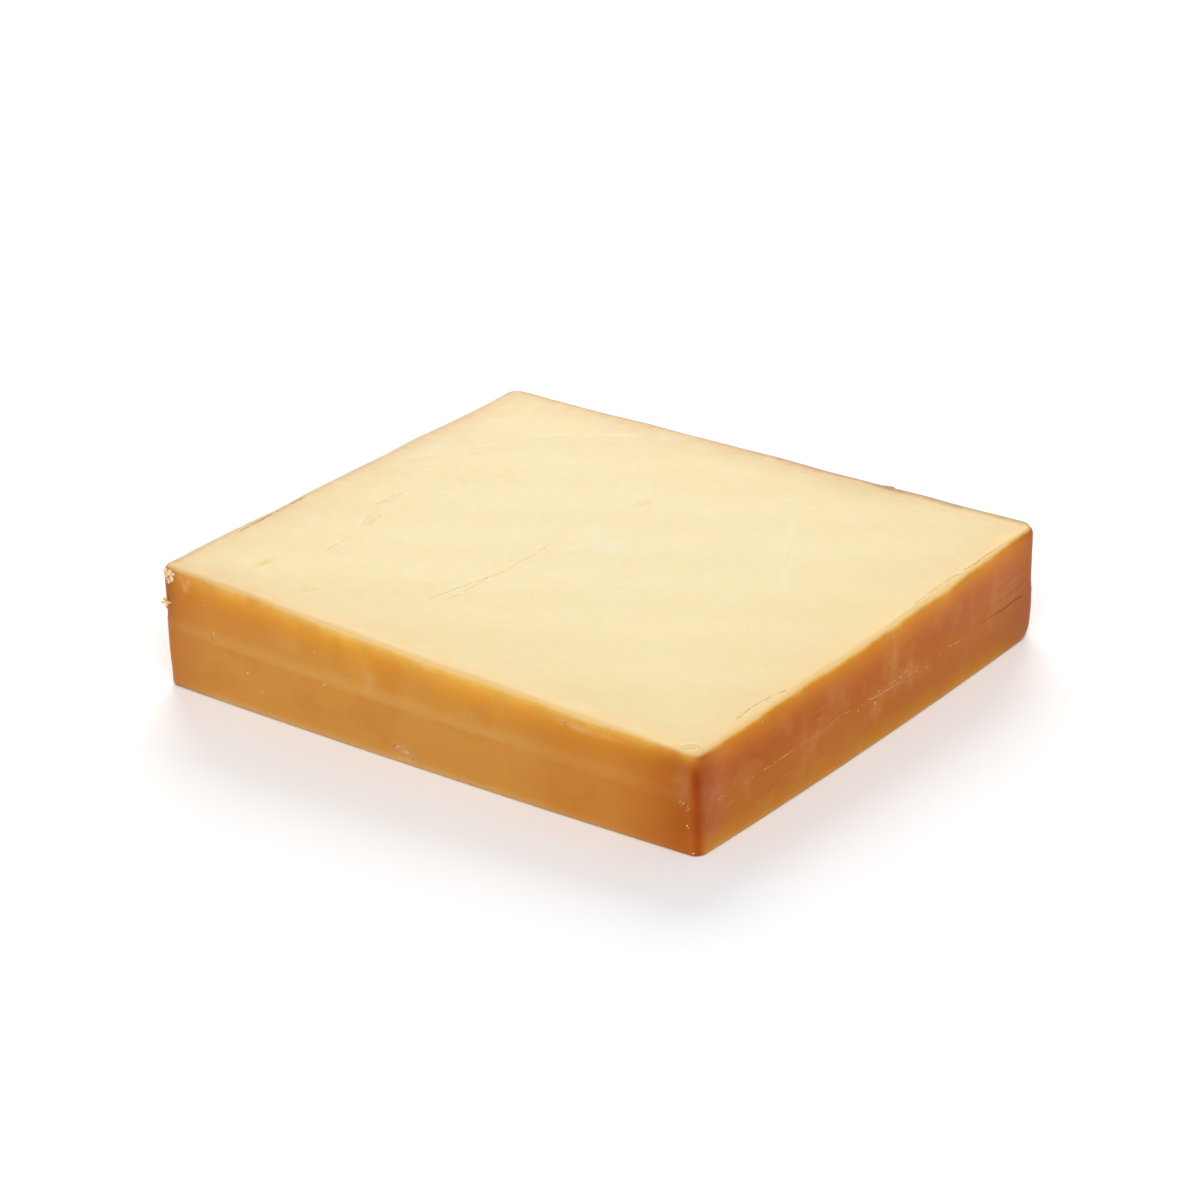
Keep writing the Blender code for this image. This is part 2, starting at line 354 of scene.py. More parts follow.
# Handling leaves the sides uneven (height, pitch and seed of the lumps), a little pitted, and
# softly dented (place, reach and depth of each dent). They are set back to stay inside the box.
UNEVEN, SET_BACK = ((0.15, 19.0, 7.7), (0.05, 5.5, 2.2)), 0.12
PIT_DEPTH, PIT_PITCH = 0.06, 2.6
DENTS = (
    ((-6.5, -112.0, 4.0), (4.6, 4.0, 2.6), 0.55),
    ((73.0, -112.0, 37.6), (9.0, 4.0, 1.8), 0.35),
    ((122.0, 17.0, 40.5), (5.0, 2.6, 2.2), 0.5),
    ((122.0, 36.0, 40.8), (5.0, 2.0, 1.6), 0.35),
    ((114.0, -111.0, 27.0), (4.0, 4.0, 5.0), 0.3),
)
push += sum(height * grain(place, pitch, seed) for height, pitch, seed in UNEVEN) - SET_BACK
push -= PIT_DEPTH * smooth(0.2, 0.65, grain(place, PIT_PITCH, 5.0))
push *= side * smooth(0.3, 3.2, rim) * smooth(0.0, 2.0, foot)
for centre, size, depth in DENTS:
    push -= side * depth * spot(place, centre, size)
for path, share in zip(SIDE_CRACKS, SIDE_CRACK_SHARES):
    fading = share * (0.3 + 0.7 * smooth(64.0, 92.0, place[:, 1]))
    away = reach_to(place[:, 1:], path)
    notch = CRACK_DEPTH * fading * np.exp(-((away / CRACK_HALF_WIDTH) ** 2))
    push -= np.where(on_right, notch, 0.0)
place[:, 0] += out_x * push
place[:, 1] += out_y * push

# On top: slits, each with its depth, half its width and how dark its painted shade is, and nicks, which are
# only painted shade, with their shares.
# A slit's lips stand up beside it, placed by its width and raised by its depth.
LIP_OFFSET, LIP_SPREAD, LIP_RISE = 2.1, 1.1, 0.28
SLITS = (
    ((KNIFE_SLIT,), 0.13, 0.28, 0.35),
    ((SLIT_FORK, SLIT_TAIL), 0.12, 0.26, 0.35),
    (SCRATCHES[:-1], 0.13, 0.32, 0.5),
    (SCRATCHES[-1:], 0.07, 0.32, 0.3),
    (RIM_CRACKS[:1], 0.20, 0.34, 0.6),
    (RIM_CRACKS[1:-1], 0.16, 0.28, 0.45),
    (RIM_CRACKS[-1:], 0.30, 0.34, 1.0),
)
NICKS = (((-19.3, -45.0, 44.4), (0.5, 0.9, 4.0), 1.0), ((-6.0, 39.6, 44.7), (0.4, 0.7, 4.0), 0.8))
# Painted shade darkens the slits, scratches and cracks of the top and the nicks; the finish reads it from
# this array.
cut = np.zeros(len(raw))
lift = np.zeros(len(raw))
for paths, depth, width, shade_share in SLITS:
    for path in paths:
        away = reach_to(place[:, :2], path)
        broken = smooth(-0.55, 0.1, grain(place, 2.8, 6.0 + depth))
        slit = np.exp(-((away / width) ** 2)) * broken
        lip = np.exp(-(((away - LIP_OFFSET * width) / (LIP_SPREAD * width)) ** 2))
        cut = np.maximum(cut, shade_share * slit * on_top)
        lift += on_top * depth * (LIP_RISE * lip - slit)
for centre, size, share in NICKS:
    cut = np.maximum(cut, share * on_top * spot(place, centre, size))

# A lip of rind curls up at the near corner, and small yellow hollows lie where a curd was lost.
CURL_HEIGHT, CURL_OFFSET, CURL_HALF_WIDTH = 0.26, 0.6, 0.7
CURL_SLIT_DEPTH, CURL_SLIT_HALF_WIDTH = 0.14, 0.4
away = reach_to(place[:, :2], CORNER_LIP)
curl = CURL_HEIGHT * np.exp(-(((away - CURL_OFFSET) / CURL_HALF_WIDTH) ** 2))
lift += on_top * (curl - CURL_SLIT_DEPTH * np.exp(-((away / CURL_SLIT_HALF_WIDTH) ** 2)))
HOLLOWS = (
    ((-10.4, 42.4, 44.8), (2.8, 3.6, 4.0), 0.22),
    ((-66.0, -97.0, 46.1), (0.5, 0.9, 4.0), 0.2),
    ((-89.9, -86.5, 47.0), (1.6, 4.9, 4.0), 0.4),
    ((-63.6, -93.9, 46.0), (0.9, 1.8, 4.0), 0.3),
    ((-61.8, -91.2, 46.0), (0.6, 0.9, 4.0), 0.25),
)
yellow = np.zeros(len(raw))
for centre, size, depth in HOLLOWS:
    hollow = spot(place, centre, size) * on_top
    lift -= depth * hollow
    yellow = np.maximum(yellow, min(1.0, 0.4 + 2.0 * depth) * hollow)

# The wire leaves a faint round ripple, shallow waves and a few raised arcs.
RIPPLE_CENTRE, RIPPLE_HEIGHT, RIPPLE_PITCH = (-32.0, 26.0), 0.012, 1.9
WAVE_HEIGHT, ARC_HEIGHT, ARC_HALF_WIDTH = 0.05, 0.09, 1.5
ring = np.hypot(place[:, 0] - RIPPLE_CENTRE[0], place[:, 1] - RIPPLE_CENTRE[1])
strength = smooth(-0.2, 0.5, grain(place, 40.0, 9.0))
ripple = RIPPLE_HEIGHT * np.sin(ring / RIPPLE_PITCH + 1.5 * grain(place, 26.0, 1.4)) * strength
lift += on_top * smooth(2.0, 8.0, inset) * (ripple + WAVE_HEIGHT * grain(place, 9.0, 4.0))
arcs = np.zeros(len(raw))
broken = smooth(-0.5, 0.3, grain(place, 9.0, 2.9))
for path in WIRE_ARCS:
    away = reach_to(place[:, :2], path)
    arcs = np.maximum(arcs, on_top * np.exp(-((away / ARC_HALF_WIDTH) ** 2)) * broken)
lift += ARC_HEIGHT * arcs
place[:, 2] += lift
place = np.clip(place, low, high)
for vert, co in zip(skin_mesh.verts, place * MM):
    vert.co = co
slab_mesh = bpy.data.meshes.new("slab")
skin_mesh.to_mesh(slab_mesh)
skin_mesh.free()
for face in slab_mesh.polygons:
    face.use_smooth = True


def keep(name, values):
    """Stores one number for each point of the slab, for its finish to read."""
    numbers = slab_mesh.attributes.new(name, "FLOAT", "POINT").data
    numbers.foreach_set("value", np.asarray(values, np.float32))


# How deep the smoke went differs from side to side: lightest in front, deepest on the right.
SMOKE_RIGHT, SMOKE_BACK, SMOKE_LEFT = 1.0, 0.75, 0.4
smoke = SMOKE_RIGHT * np.maximum(out_x, 0) ** 2 + SMOKE_BACK * np.maximum(out_y, 0) ** 2
smoke += SMOKE_LEFT * np.maximum(-out_x, 0) ** 2
in_x, in_y = LENGTH / 2 - abs(raw[:, 0]), WIDTH / 2 - abs(raw[:, 1])
across_front = abs(out_y) > abs(out_x)

# Dry bloom lies in patches on the rind, and a few pale smears on the cut face: place, reach, share.
BLOOMS = (
    ((3.4, 0.9, 44.6), (6.0, 3.6, 6.0), 1.0),
    ((-3.0, 4.4, 44.6), (6.0, 3.4, 6.0), 0.7),
    ((-8.6, 8.2, 44.6), (5.0, 5.0, 6.0), 0.6),
    ((8.6, 2.6, 44.6), (3.6, 3.0, 6.0), 0.7),
    ((-15.6, 49.6, 44.8), (1.6, 3.2, 6.0), 0.5),
    ((-9.0, 39.5, 44.8), (1.6, 4.0, 6.0), 0.4),
    ((-108.0, 40.0, 46.5), (4.0, 9.0, 6.0), 0.5),
    ((-104.0, 73.0, 46.0), (4.0, 7.0, 6.0), 0.4),
    ((-22.0, -112.0, 29.0), (3.0, 6.0, 7.0), 0.35),
    ((-7.6, -112.0, 5.6), (2.6, 6.0, 2.0), 1.0),
    ((-4.2, -112.0, 3.8), (2.6, 6.0, 1.6), 1.0),
    ((64.4, -112.0, 35.7), (3.0, 6.0, 0.9), 0.8),
    ((71.0, -112.0, 35.5), (6.0, 6.0, 1.0), 0.8),
    ((80.0, -112.0, 35.6), (6.0, 6.0, 0.8), 0.5),
    ((24.0, -112.0, 27.6), (3.6, 6.0, 1.6), 0.4),
    ((-60.0, -112.0, 33.4), (9.0, 6.0, 4.0), 0.22),
    ((113.0, -112.0, 27.0), (4.0, 5.0, 7.0), 0.35),
    ((119.0, -103.0, 22.0), (4.0, 7.5, 9.0), 0.65),
    ((119.0, -105.0, 11.0), (4.0, 6.0, 6.0), 0.4),
    ((121.0, -28.0, 30.0), (5.0, 8.0, 4.0), 0.35),
    ((122.0, 19.5, 18.5), (5.0, 2.3, 4.6), 1.0),
    ((121.5, 10.0, 31.0), (5.0, 1.3, 6.5), 0.5),
    ((122.0, -5.5, 14.2), (5.0, 2.6, 3.0), 0.6),
    ((122.0, 4.0, 18.6), (5.0, 12.0, 1.6), 0.6),
    ((122.0, -42.0, 18.6), (5.0, 12.0, 1.6), 0.4),
    ((121.0, 82.0, 30.0), (5.0, 22.0, 9.0), 0.25),
    ((121.0, 40.0, 33.0), (5.0, 14.0, 5.0), 0.22),
    ((-60.0, 112.0, 30.0), (18.0, 6.0, 8.0), 0.35),
    ((40.0, 112.0, 16.0), (14.0, 6.0, 6.0), 0.4),
    ((-121.0, 30.0, 24.0), (6.0, 16.0, 7.0), 0.35),
)
SMEARS_FRONT = (((-108.9, 45.5), (-107.6, 41.0)), ((-105.4, 45.2), (-107.2, 41.0)))
SMEAR_SHARE, SMEAR_HALF_WIDTH, ARC_BLOOM = 0.8, 0.7, 0.5
bloom = np.zeros(len(raw))
for centre, size, strength in BLOOMS:
    bloom = np.maximum(bloom, strength * spot(place, centre, size))
for path in SMEARS_FRONT:
    away = reach_to(place[:, [0, 2]], path)
    bloom = np.maximum(bloom, SMEAR_SHARE * np.exp(-((away / SMEAR_HALF_WIDTH) ** 2)) * on_front)
bloom = np.maximum(bloom, ARC_BLOOM * arcs)
# Painted shade darkens the cracks on the right side, most towards its far end.
crack_shade = np.zeros(len(raw))
for path, share in zip(SIDE_CRACKS, SIDE_CRACK_SHARES):
    away = reach_to(place[:, 1:], path)
    crack_shade = np.maximum(crack_shade, share * on_right * np.exp(-((away / CRACK_SHADE_HALF_WIDTH) ** 2)))
crack_shade *= 0.3 + 0.7 * smooth(64.0, 90.0, place[:, 1])

# The finish reads how far each point is from the rim, the foot, the fold and an upright edge, and
# which rim it lies nearest to: the front and right ones, the two far ones, or the left one.
keep("rim", rim)
keep("foot", foot)
keep("smoke", smoke)
keep("below_fold", below_fold)
keep("from_upright", np.where(across_front, in_x, in_y))
keep("near_corner", smooth(90.0, 190.0, place[:, 0] - place[:, 1]))
# The painted shade of the marks on top and of the cracks on the right side.
keep("cut", np.maximum(cut, crack_shade))
keep("bloom", bloom)
keep("yellow", yellow)
far_first = np.minimum(raw[:, 1] + WIDTH / 2, LENGTH / 2 - raw[:, 0])
far_first -= np.minimum(WIDTH / 2 - raw[:, 1], LENGTH / 2 + raw[:, 0])
keep("far_rim", smooth(-60.0, 60.0, far_first))
keep("far_line", smooth(-2.0, 4.0, far_first))
keep("left_line", smooth(0.0, 10.0, in_y - (LENGTH / 2 + raw[:, 0])))
keep("creep", smooth(70.0, 104.0, place[:, 1]) * smooth(-40.0, 60.0, place[:, 0]))

# The smoke's colour reaches over the rim a little further in some places than in others.
REACH_FRONT = (
    (-122, 0.9), (-85, 1.0), (-62, 0.8), (-40, 0.1), (72, 0.0), (90, 0.7), (106, 1.5), (122, 1.9),
)
REACH_RIGHT = (
    (-112, 0.3), (-100, -0.5), (-82, 0.4), (-45, -0.4), (20, -0.7), (45, 0.0), (75, 0.2), (98, 1.1),
)
over_front = np.interp(place[:, 0], *np.array(REACH_FRONT).T)
over_right = np.interp(place[:, 1], *np.array(REACH_RIGHT).T)
to_right = smooth(-7.0, 7.0, in_y - in_x)
near_side = (place[:, 0] - LENGTH / 2 > -40) | (place[:, 1] + WIDTH / 2 < 40)
keep("reach", np.where(near_side, (1 - to_right) * over_front + to_right * over_right, 0.0))

# Clouds where the smoke went deeper (above 0) or less deep (below 0) than round them. Two pale ones on the
# right side are painted light instead.
CLOUDS = (
    ((-120.0, -111.0, 40.0), (7.0, 8.0, 8.0), 0.6),
    ((-80.0, -111.0, 39.0), (24.0, 9.0, 12.0), 0.34),
    ((116.0, -110.0, 31.0), (6.0, 8.0, 8.0), 0.3),
    ((98.0, -111.0, 34.0), (9.0, 8.0, 6.0), -0.28),
    ((-30.0, -111.0, 30.0), (20.0, 8.0, 13.0), -0.12),
    ((50.0, -111.0, 27.0), (10.0, 8.0, 6.0), 0.15),
    ((114.0, -111.0, 13.0), (8.0, 8.0, 8.0), 0.3),
    ((121.0, 0.0, 30.0), (8.0, 30.0, 9.0), -0.2),
    # A painted highlight on the right side, not paler smoke.
    ((121.0, 12.0, 30.0), (8.0, 11.0, 9.0), -0.28),
    ((121.0, 99.0, 36.0), (8.0, 10.0, 8.0), -0.55),
    ((121.0, 82.0, 21.0), (8.0, 12.0, 5.0), 0.25),
    ((121.0, -86.0, 9.0), (8.0, 14.0, 6.0), -0.2),
    ((121.0, -35.0, 9.0), (8.0, 32.0, 6.0), -0.35),
    ((121.0, 92.0, 8.0), (8.0, 20.0, 9.0), 0.5),
    ((121.0, -80.0, 22.0), (8.0, 14.0, 4.0), 0.25),
    ((119.0, -107.0, 26.0), (6.0, 7.0, 6.0), 0.45),
    # Painted bounce light from the floor at the foot of the right side, by the near corner.
    ((119.0, -104.0, 4.0), (8.0, 9.0, 5.0), -0.6),
    ((121.0, -82.0, 36.0), (8.0, 26.0, 4.0), 0.2),
    ((-113.0, -105.0, 48.0), (13.0, 10.0, 9.0), 0.22),
    ((-40.0, 107.0, 46.0), (90.0, 9.0, 9.0), 0.12),
    ((-118.0, 104.0, 46.0), (9.0, 12.0, 9.0), 0.22),
    ((118.0, 106.0, 44.0), (12.0, 8.0, 9.0), 0.18),
)
deeper = np.zeros(len(raw))
for centre, size, strength in CLOUDS:
    deeper += strength * spot(place, centre, size)
keep("deeper", np.maximum(deeper, 0.0))
# Paler smoke, with a painted highlight and painted bounce light among it.
keep("paler", np.maximum(-deeper, 0.0))


class Strand:
    """One output of a shader node. Arithmetic on it adds Math nodes, so masks read as sums."""

    def __init__(self, tree, output):
        self.tree, self.output = tree, output

    def node(self, kind, settings=None, sockets=None, out=0):
        """Adds any node: its settings first, then the values or strands of its sockets."""
        made = self.tree.nodes.new(kind)
        for name, value in (settings or {}).items():
            if name == "stops":
                ramp = made.color_ramp
                while len(ramp.elements) < len(value):
                    ramp.elements.new(0.5)
                for element, (at, colour) in zip(ramp.elements, value):
                    element.position, element.color = at, colour
            else:
                setattr(made, name, value)
        for name, value in (sockets or {}).items():
            if isinstance(value, Strand):
                self.tree.links.new(value.output, made.inputs[name])
            else:
                made.inputs[name].default_value = value
        return Strand(self.tree, made.outputs[out])

    def math(self, operation, first, second=0.0):
        """One Math node."""
        return self.node("ShaderNodeMath", {"operation": operation}, {0: first, 1: second})

    def __add__(self, other):
        return self.math("ADD", self, other)

    def __sub__(self, other):
        return self.math("SUBTRACT", self, other)

    def __rsub__(self, other):
        return self.math("SUBTRACT", other, self)

    def __mul__(self, other):
        return self.math("MULTIPLY", self, other)

    __radd__, __rmul__ = __add__, __mul__

    def soft(self, low, high, start=0.0, end=1.0):
        """Runs smoothly from start to end while the value goes from low to high."""
        sockets = {"Value": self, "From Min": low, "From Max": high, "To Min": start, "To Max": end}
        return self.node("ShaderNodeMapRange", {"interpolation_type": "SMOOTHSTEP"}, sockets)

    def ramp(self, *stops):
        """The colour that these stops give for this value."""
        return self.node("ShaderNodeValToRGB", {"stops": stops}, {"Fac": self})

    def noise(self, pitch, detail=2.0, stretch=(1, 1, 1)):
        """Noise over these coordinates, in metres, with lumps of about pitch millimetres."""
        place = self
        if stretch != (1, 1, 1):
            place = self.node("ShaderNodeVectorMath", {"operation": "MULTIPLY"}, {0: self, 1: stretch})
        sockets = {"Vector": place, "Scale": 1 / (pitch * MM), "Detail": detail}
        return self.node("ShaderNodeTexNoise", {}, sockets)

    def tint(self, share, colour):
        """This colour multiplied by another, as far as share goes."""
        times = self.node("ShaderNodeVectorMath", {"operation": "MULTIPLY"}, {0: self, 1: colour})
        return share.mix(self, times)

    def mix(self, first, second):
        """Colour mix, with this strand as its share of the second."""
        sockets = {"Factor": self, 6: first, 7: second}
        return self.node("ShaderNodeMix", {"data_type": "RGBA"}, sockets, out=2)

    def bump(self, strength, distance):
        """A normal from these heights; distance in millimetres."""
        sockets = {"Strength": strength, "Distance": distance * MM, "Height": self}
        return self.node("ShaderNodeBump", {}, sockets)

    def stored(self, name):
        """A number that was stored for each point of the slab."""
        return self.node("ShaderNodeAttribute", {"attribute_name": name}, out=2)


def paint(red, green, blue):
    """A colour from its 8-bit display values."""
    parts = [c / 255 for c in (red, green, blue)]
    return tuple(p / 12.92 if p < 0.04045 else ((p + 0.055) / 1.055) ** 2.4 for p in parts) + (1.0,)


def new_finish(name):
    """A material, its Principled shader and a strand of coordinates fixed to the cheese."""
    material = bpy.data.materials.new(name)
    material.use_nodes = True
    shader = material.node_tree.nodes["Principled BSDF"]
    coordinates = material.node_tree.nodes.new("ShaderNodeTexCoord")
    return material, shader, Strand(material.node_tree, coordinates.outputs["Object"])


def lead(strand, shader, socket):
    """Links a strand to one socket of a shader."""
    strand.tree.links.new(strand.output, shader.inputs[socket])


def let_light_in(shader, weight, radius, scale, shine):
    """Makes a finish waxy: light goes in by about scale millimetres, furthest in red."""
    shader.inputs["Subsurface Weight"].default_value = weight
    shader.inputs["Subsurface Radius"].default_value = radius
    shader.inputs["Subsurface Scale"].default_value = scale * MM
    shader.inputs["Specular IOR Level"].default_value = shine


def show(name, data):
    """Puts a mesh, a lamp or the camera into the scene."""
    made = bpy.data.objects.new(name, data)
    bpy.context.scene.collection.objects.link(made)
    return made


cheese, skin, at = new_finish("smoked_cheese")
broad = at.noise(17.0, 3.0) - 0.5
fine = at.noise(3.5, 2.0) - 0.5
mottle = at.noise(26.0, 3.0)
fleck = at.noise(4.2, 3.0)
rim_depth = at.stored("rim")
smoke_share = at.stored("smoke")
bloom_share = at.stored("bloom") * fleck.soft(0.25, 0.62, 0.35, 1.0)
depth = rim_depth + at.stored("reach") + broad * 2.2 + fine * 0.6
FACE_REACH, RIND_REACH = 60.0, 24.0

# The cut face pales from its rims inwards. The two far rims are browner, in dabs and a thin lip.
border = 0.0 - (rim_depth + at.stored("creep") * (broad * 8.0 + 4.5) + broad * 3.0)
near_face = (border * (1 / FACE_REACH)).ramp(
    (0.0, paint(232, 194, 129)),
    (0.03, paint(230, 196, 136)),
    (0.055, paint(222, 190, 130)),
    (0.2, paint(216, 192, 137)),
    (0.5, paint(217, 197, 141)),
    (1.0, paint(218, 201, 151)),
)
far_border = 0.0 - (rim_depth + at.stored("creep") * (broad * 3.5 + 1.2) + fine * 1.2)
far_face = (far_border * (1 / FACE_REACH)).ramp(
    (0.0, paint(218, 182, 122)),
    (0.05, paint(206, 173, 116)),
    (0.1, paint(207, 178, 122)),
    (0.17, paint(210, 186, 134)),
    (0.36, paint(215, 194, 141)),
    (1.0, paint(217, 199, 150)),
)
dabs = at.noise(6.0, 3.0).soft(0.5, 0.64) * far_border.soft(2.0, 3.2) * far_border.soft(7.5, 4.0)
dabs = dabs * at.stored("far_line")
far_face = (dabs * 0.6).mix(far_face, paint(212, 152, 84))
far_mottle = at.noise(1.8, 3.0).soft(0.46, 0.66) * at.stored("creep") * far_border.soft(18.0, 2.0)
far_face = (far_mottle * 0.3).mix(far_face, paint(188, 150, 100))
face = at.stored("far_rim").mix(near_face, far_face)
far_lip = (far_border * (1 / FACE_REACH)).ramp(
    (0.022, paint(142, 101, 55)),
    (0.034, paint(160, 117, 65)),
    (0.05, paint(186, 142, 82)),
    (0.07, paint(203, 164, 104)),
)
face = (at.stored("far_line") * far_border.soft(5.2, 3.2)).mix(face, far_lip)
face = (at.stored("left_line") * far_border.soft(4.0, 2.0) * 0.85).mix(face, paint(200, 178, 146))
face = (mottle.soft(0.35, 0.7) * 0.25).mix(face, paint(219, 195, 140))
face = (at.noise(9.0, 3.0, (1.0, 2.0, 1.0)).soft(0.45, 0.75) * 0.2).mix(face, paint(220, 204, 156))
face = (at.stored("yellow") * 0.9).mix(face, paint(212, 186, 106))
face = (bloom_share * 0.95).mix(face, paint(223, 213, 183))
# Painted shade darkens the slits, scratches, cracks and nicks of the cut face.
face = (at.stored("cut") * 0.45).mix(face, paint(176, 138, 82))

# The rind darkens below its rim, more on the right than in front, with blotches and rubbed streaks.
lobes = depth + broad * 3.0
front = (lobes * (1 / RIND_REACH)).ramp(
    (0.0, paint(229, 193, 120)),
    (0.06, paint(224, 177, 90)),
    (0.16, paint(220, 159, 60)),
    (0.30, paint(211, 144, 45)),
    (0.46, paint(202, 137, 49)),
    (0.75, paint(197, 136, 57)),
    (1.0, paint(197, 136, 58)),
)
right = (lobes * (1 / RIND_REACH)).ramp(
    (0.0, paint(224, 168, 70)),
    (0.05, paint(209, 142, 36)),
    (0.11, paint(204, 129, 22)),
    (0.19, paint(199, 118, 23)),
    (0.34, paint(186, 103, 25)),
    (0.5, paint(177, 92, 24)),
    (0.7, paint(172, 90, 26)),
    (1.0, paint(176, 99, 28)),
)
rind = smoke_share.mix(front, right)
blotch = at.noise(13.0, 3.0)
rind = (blotch.soft(0.48, 0.7) * 0.24).mix(rind, paint(184, 106, 30))
rind = (blotch.soft(0.48, 0.3) * (0.3 - 0.1 * smoke_share)).mix(rind, paint(200, 144, 68))
veil = at.noise(7.0, 3.0, (1.0, 1.0, 0.16)).soft(0.5, 0.72) * at.noise(30.0, 1.0).soft(0.4, 0.6)
rind = (veil * (0.12 + 0.2 * smoke_share)).mix(rind, paint(194, 126, 78))
rubbed = at.noise(1.1, 2.0, (0.1, 0.1, 1.0))
patchy = at.noise(24.0, 2.0).soft(0.42, 0.62) * smoke_share
rind = (rubbed.soft(0.52, 0.72) * patchy * 0.15).mix(rind, paint(206, 144, 98))
rind = (rubbed.soft(0.46, 0.3) * patchy * 0.15).mix(rind, paint(150, 76, 24))

# Low down, and most of all at its foot, it is lighter and more golden: painted bounce light from the floor.
# Along the pressed line it is more golden.
# Painted bounce light from the floor over the lowest centimetre or so of the rind.
low_bounce_light = (at.stored("foot") + broad * 6.0).soft(11.0, 1.0)
rind = (low_bounce_light * 0.65).mix(rind, smoke_share.mix(paint(199, 142, 62), paint(194, 128, 32)))
band = (at.stored("below_fold") + fine * 1.5 + broad * 3.0).soft(-4.6, -0.6)
band = band * at.stored("below_fold").soft(3.0, 0.8) * (1 - smoke_share).soft(0.2, 0.7, 0.0, 1.0)
rind = (band * 0.48).mix(rind, paint(204, 153, 80))
# Painted shade darkens the groove just under the pressed line, in broken flecks.
groove_shade = at.stored("below_fold").soft(0.6, 1.8) * at.stored("below_fold").soft(5.0, 1.8)
rind = (groove_shade * fleck.soft(0.3, 0.6) * 0.12).mix(rind, paint(168, 96, 34))
# More painted bounce light, strongest in the last few millimetres at the foot.
foot_bounce_light = (at.stored("foot") + fine * 2.0).soft(4.2, 0.4)
foot_bounce_tone = smoke_share.mix(paint(202, 161, 108), paint(200, 148, 80))
rind = (foot_bounce_light * (0.7 - 0.2 * smoke_share)).mix(rind, foot_bounce_tone)

# It is browner towards the upright edges, and a dark line runs down the nearest one.
near = at.stored("near_corner")
from_upright = at.stored("from_upright") + broad * 10.0
below_rim = depth.soft(0.5, 9.0, 0.3, 1.0)
brown_front = near * (1 - smoke_share) * below_rim
rind = (brown_front * from_upright.soft(86.0, 52.0) * 0.4).mix(rind, paint(182, 104, 24))
rind = (brown_front * from_upright.soft(40.0, 1.0) * 0.85).mix(rind, paint(164, 80, 10))
off_base = at.stored("foot").soft(1.0, 13.0, 0.35, 1.0)
rind = (near * smoke_share * from_upright.soft(18.0, 1.0) * off_base * 0.75).mix(rind, paint(156, 72, 14))
far_edge = (1 - near) * from_upright.soft(34.0, 0.0)
far_brown = smoke_share.mix(paint(170, 96, 36), paint(148, 72, 22))
rind = (far_edge * (0.6 + 0.1 * smoke_share)).mix(rind, far_brown)
last_edge = (1 - near) * at.stored("from_upright").soft(11.0, 0.0) * rim_depth.soft(26.0, 12.0, 0.3, 1.0)
rind = (last_edge * 0.55).mix(rind, paint(150, 80, 30))
corner_line = (1 - near) * at.stored("from_upright").soft(2.0, 0.2) * rim_depth.soft(1.0, 5.0)
rind = (corner_line * 0.6).mix(rind, paint(118, 68, 38))
rind = (bloom_share * 0.6).mix(rind, smoke_share.mix(paint(220, 178, 128), paint(200, 134, 96)))
edge_line = near * at.stored("from_upright").soft(4.6, 0.6) * rim_depth.soft(1.5, 9.0)
rind = (edge_line * 0.8).mix(rind, paint(150, 58, 3))
# Painted shade darkens the cracks and marks of the rind.
rind = (at.stored("cut") * 0.5).mix(rind, paint(112, 52, 16))

# Cut face, rind and pale underside are joined, and the smoke's clouds deepen or pale the whole; two of the
# pale ones are painted light.
cut_base = (at.stored("foot") + broad).soft(0.2, -1.2)
surface = depth.soft(-1.3, 2.0).mix(face, rind)
surface = cut_base.mix(surface, paint(216, 196, 140))
surface = surface.tint(at.stored("deeper"), (0.80, 0.62, 0.50)).tint(at.stored("paler"), (1.2, 1.45, 1.55))

lead(surface, skin, "Base Color")
lead((fleck - 0.5) * 0.16 + bloom_share * 0.12 + depth.soft(-2.0, 2.0, 0.46, 0.4), skin, "Roughness")
streaks = at.noise(2.2, 2.0, (1.0, 0.16, 1.0))
relief = at.noise(0.9, 3.0) * 0.5 + fleck * 0.8 + streaks * 0.5
lead(relief.bump(0.3, 0.25), skin, "Normal")
let_light_in(skin, 0.35, (1.0, 0.5, 0.2), 2.6, 0.08)

slab_mesh.materials.append(cheese)
slab = show("slab", slab_mesh)
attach(slab, "root")
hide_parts("cheese_slab")

# ---------------------------------------------------------------------------------------------
# Scuffs. Where a nail or a crate has dragged over the rind, it has raised thin pale lips of fat.
# Each is a narrow ridge that follows the rind, worn through in places.

SCUFFS_RIGHT = (
    ((-14.0, 19.2), (1.1, 18.4), (15.2, 18.1)),
    ((-10.0, 20.6), (4.0, 19.9), (13.0, 20.3), (21.0, 21.6)),
    ((12.0, 19.2), (20.0, 18.4), (30.4, 16.8)),
    ((-103.5, 19.6), (-98.0, 18.1), (-95.0, 18.1)),
    ((-101.0, 18.4), (-95.5, 16.9)),
    ((-88.0, 17.9), (-70.0, 18.5), (-52.0, 18.8)),
    ((44.0, 19.5), (52.0, 18.6), (60.0, 18.6)),
    ((-34.0, 19.2), (-27.0, 20.4), (-19.0, 20.0)),
)
SCUFFS_FRONT = (
    ((-10.9, 6.6), (-8.9, 4.4), (-4.9, 5.5), (-2.0, 3.4)),
    ((-8.6, 4.2), (-2.4, 3.1)),
)
SCUFFS_BACK = (((-20.0, 24.0), (2.0, 22.5), (19.0, 23.4)), ((48.0, 12.0), (70.0, 15.0)))
SCUFFS_LEFT = (((-62.0, 22.0), (-40.0, 23.5), (-24.0, 22.8)), ((35.0, 34.0), (58.0, 31.0)))
